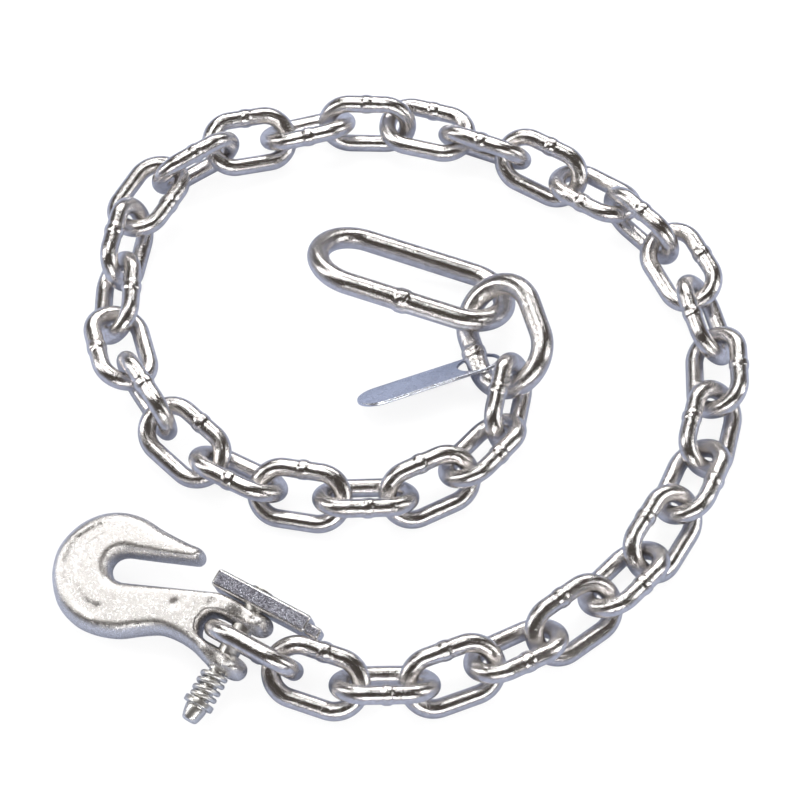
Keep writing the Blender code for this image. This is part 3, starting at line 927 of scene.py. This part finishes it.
def drilled(mesh, low, high):
    """The mesh less a bore along Y, from low to high in millimetres."""
    drill = solid_of_turn(
        "drill", [(BORE_RADIUS, low), (BORE_RADIUS, high)], Matrix.Identity(4), BORE_SIDES
    )
    block = bpy.data.objects.new("block", mesh)
    tool = bpy.data.objects.new("tool", drill)
    for item in (block, tool):
        bpy.context.scene.collection.objects.link(item)
    boolean = block.modifiers.new("cut", "BOOLEAN")
    boolean.operation = "DIFFERENCE"
    boolean.object = tool
    bpy.context.view_layer.update()
    graph = bpy.context.evaluated_depsgraph_get()
    made = bpy.data.meshes.new_from_object(block.evaluated_get(graph))
    bpy.data.objects.remove(block)
    bpy.data.objects.remove(tool)
    return made


hook_mesh = drilled(hook_mesh, -30, 30)
hook_mesh.name = "forged_hook"
hook_mesh.transform(HOOK)
piece("forged_hook", hook_mesh, FORGED_ZINC, "hook", "forged_zinc", "hook_body", sharp=55)
print("hook faces", len(hook_mesh.polygons))

# %% [markdown]
# ## Pin, collar and spring
# The pin is turned on a lathe, so it is a profile carried round its axis. Its thin tail
# holds a coil spring, held in turn by a collar and a tapered nose. The spring is a tube
# along a helix whose pitch closes up at both ends, as on a real coil with closed ends.


# %% Pin and collar
SPRING_FOOT, SPRING_TOP = -18.3, -33.8
PIN_RADIUS, TAIL_RADIUS, HEAD_RADIUS = 5.55, 4.05, 6.2
COLLAR_BORE, COLLAR_RADIUS, COLLAR_LOW, COLLAR_HIGH = 4.25, 7.8, -37.1, -34.1


def bead_rows(radius, low, high, corner, rows=5):
    """Rows of a profile for a disc with corners rounded by quarter circles."""
    t = np.linspace(0, math.pi / 2, rows)
    inner = radius - corner
    bottom = np.stack([inner + corner * np.sin(t), low + corner - corner * np.cos(t)], axis=1)
    top = np.stack([inner + corner * np.cos(t), high - corner + corner * np.sin(t)], axis=1)
    return bottom.tolist() + top.tolist()


# (radius, height) in millimetres, from the nose to the head
nose = [(2.6, -45.6), (3.5, -45.3), (4.1, -44.6), (4.6, -43.2), (5.2, -40.6)]
nose += [(PIN_RADIUS, -38.6), (5.5, -37.6), (5.1, -37.15), (4.06, -37.05)]
shaft = [(TAIL_RADIUS, -17.7), (5.5, -17.6), (PIN_RADIUS, -17.3), (PIN_RADIUS, 28.05)]
head = bead_rows(HEAD_RADIUS, 28.05, 28.65, 0.25) + [(4.0, 28.7)]
pin_mesh = solid_of_turn("turned_pin", nose + shaft + head, HOOK)
piece("turned_pin", pin_mesh, PIN_ZINC, "pin", "pin_zinc", "clevis_pin", sharp=40)

collar_profile = (
    [(COLLAR_BORE, COLLAR_LOW)]
    + bead_rows(COLLAR_RADIUS, COLLAR_LOW, COLLAR_HIGH, 0.5)
    + [(COLLAR_BORE, COLLAR_HIGH)]
)
points = placed(turned(collar_profile), HOOK)
faces = outwards(points, grid_faces(len(collar_profile), 72))
collar_mesh = mesh_of("turned_collar", points, [faces])
piece("turned_collar", collar_mesh, PIN_ZINC, "pin", "pin_zinc", "pin_collar", sharp=40)
print("pin", len(pin_mesh.vertices), "points, collar", len(points), "points")

# %% Coil spring
SPRING_TURNS, SPRING_BEND, SPRING_WIRE = 3.4, 5.85, 2.8
SPRING_ROWS, SPRING_SIDES = 340, 18
END_CLOSING = 0.018  # how much closer the end turns lie, as a share of the length
END_SHRINK = 0.82  # size of the two end rings, which rounds the cut ends


def coil(low, high):
    """A tube round a helix. Its height follows t - c sin(2 pi t), so that the first and last
    turns lie a little flatter."""
    t = np.linspace(0, 1, SPRING_ROWS)
    climb = t - END_CLOSING * np.sin(2 * math.pi * t)
    angle = 2 * math.pi * SPRING_TURNS * t
    start, end = low - SPRING_WIRE / 2, high + SPRING_WIRE / 2
    height = start + (end - start) * climb
    out = np.stack([np.cos(angle), np.zeros(SPRING_ROWS), np.sin(angle)], axis=1)
    middle = SPRING_BEND * out
    middle[:, 1] = height
    along_it = np.gradient(middle, axis=0)
    along_it /= np.linalg.norm(along_it, axis=1)[:, None]
    third = np.cross(along_it, out)
    v = (np.arange(SPRING_SIDES) / SPRING_SIDES * 2 * math.pi)[None, :, None]
    r = np.full(SPRING_ROWS, SPRING_WIRE / 2)
    r[[0, -1]] *= END_SHRINK
    across = np.cos(v) * out[:, None, :] + np.sin(v) * third[:, None, :]
    return (middle[:, None, :] + r[:, None, None] * across).reshape(-1, 3) * MM


points = coil(SPRING_FOOT, SPRING_TOP)
side = grid_faces(SPRING_ROWS, SPRING_SIDES, rows_closed=False)
rim = np.arange(SPRING_SIDES)
caps = [rim[None, :], (len(points) - SPRING_SIDES + rim)[None, ::-1]]
if outwards(points, side) is not side:
    side, caps = side[:, ::-1], [cap[:, ::-1] for cap in caps]
spring_mesh = mesh_of("coil_spring", placed(points, HOOK), [side, *caps])
spring = piece(
    "coil_spring", spring_mesh, SPRING_ZINC, "hook", "spring_zinc", "latch_spring", sharp=60
)
print("spring", len(points), "points")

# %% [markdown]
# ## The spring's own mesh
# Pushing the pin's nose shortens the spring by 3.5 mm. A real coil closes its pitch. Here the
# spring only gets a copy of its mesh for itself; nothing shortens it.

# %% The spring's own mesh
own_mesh(spring)

# %% [markdown]
# ## Latch plate
# The latch is a piece of bar that stands on edge across the throat. Its long top edge was
# sheared, which leaves it grainy with a bright rolled corner. A thinner tab at the chain end
# stops it. Both are slabs seen from the side.

# %% Latch plate and tab
PLATE_FACE, PLATE_THICK, PLATE_UP = 18.3, 9.4, 8.25
TAB_FACE, TAB_THICK = 19.0, 6
EDGE_STEPS = np.array([0.06, 0.2, 0.42, 0.7, 1.0])  # rows across a rounded edge, as shares
BAR_OUTLINE_STEP, SHEET_STEP = 0.6 * MM, 1.6 * MM
FACING = 0.93  # a face within about 22 degrees of the hook's face counts as the sheared top


def bar(name, low, high, near, thick, corner, edge):
    """A slab whose outline lies in the plane of the fork's axis and the face's normal, from
    corner low to corner high in millimetres, from near to near + thick along the pin."""
    corners = [(low[0], low[1]), (high[0], low[1]), (high[0], high[1]), (low[0], high[1])]
    loop = rounded_loop(np.array(corners) * MM, corner * MM, BAR_OUTLINE_STEP)
    half = thick / 2 * MM

    def height(points, distance, segment):
        """Half the bar's thickness, rounded at the edges."""
        return half - edge * MM * (1 - rounded(distance, edge * MM))

    points, faces = slab([loop], edge * MM * EDGE_STEPS, SHEET_STEP, height)
    x, y, z = points.T
    stood = np.stack([x, (near + thick / 2) * MM - z, y], axis=1)
    return mesh_of(name, placed(stood, HOOK), faces)


def shear(item):
    """Gives the faces that point out of the hook's face the sheared finish."""
    mesh = item.data
    mesh.materials.append(SHEARED_ZINC)
    normals = np.empty(len(mesh.polygons) * 3, np.float32)
    mesh.polygons.foreach_get("normal", normals)
    facing = normals.reshape(-1, 3) @ np.array(FACE_UP) > FACING
    mesh.polygons.foreach_set("material_index", facing.astype(np.int32))
    print(item.name, "has", facing.sum(), "sheared faces")


plate_mesh = bar(
    "sheared_plate", (-23.8, -PLATE_UP), (30, PLATE_UP), PLATE_FACE, PLATE_THICK, 1.4, 2.1
)
tab_mesh = bar("plate_tab", (26, -PLATE_UP + 0.6), (36.7, 3.2), TAB_FACE, TAB_THICK, 1.6, 1.6)
sheared_plate = piece(
    "sheared_plate", plate_mesh, PLATE_ZINC, "latch", "plate_zinc", "latch_plate", sharp=60
)
plate_tab = piece("plate_tab", tab_mesh, PLATE_ZINC, "latch", "plate_zinc", sharp=60)
for item in (sheared_plate, plate_tab):
    shear(item)

# %% [markdown]
# ## Tag
# The tag is a strip punched from sheet, with two round ends and a hole that a leg of the
# coupling link passes through. Its place is worked out from the frame's own tag.

# %% Tag place
tag_points, (long, _, thin) = node_axes("tag")
if long[0] < 0:
    long = -long
if thin[2] < 0:
    thin = -thin
TAG = box_place(tag_points, np.stack([long, np.cross(thin, long), thin]))
print("tag's middle", TAG[:3, 3].round(4))

# %% Tag surface
TAG_LONG, TAG_WIDE, TAG_THICK, TAG_HOLE = 81 * MM, 25.2 * MM, 1.8 * MM, 11 * MM
TAG_EDGE = 0.5 * MM
TAG_STEPS = np.array([0.06, 0.2, 0.5]) * MM
HOLE_POINTS, HALF_CIRCLE_POINTS = 96, 40
TAG_OUTLINE_STEP = 0.8 * MM
end_at = (TAG_LONG - TAG_WIDE) / 2


def stadium(reach, radius, spacing):
    """A stadium outline: two half circles, at reach from the middle, and straight sides."""
    turns = np.linspace(-math.pi / 2, math.pi / 2, HALF_CIRCLE_POINTS)
    right = np.stack([reach + radius * np.cos(turns), radius * np.sin(turns)], axis=1)
    return even_steps(np.concatenate([right, -right]), spacing)


def tag_height(points, distance, segment):
    """Half the sheet's thickness, rounded at the edges."""
    return TAG_THICK / 2 - TAG_EDGE * (1 - rounded(distance, TAG_EDGE))


tag_outline = stadium(end_at, TAG_WIDE / 2, TAG_OUTLINE_STEP)
turns = -np.arange(HOLE_POINTS) / HOLE_POINTS * 2 * math.pi
tag_hole = np.stack([end_at + TAG_HOLE * np.cos(turns), TAG_HOLE * np.sin(turns)], axis=1)
points, faces = slab([tag_outline, tag_hole], TAG_STEPS, SHEET_STEP, tag_height)
tag_mesh = mesh_of("punched_tag", placed(points, TAG), faces)
piece("punched_tag", tag_mesh, TAG_ZINC, "tag", "tag_zinc", "tag", sharp=50)
print("tag", len(points), "points")
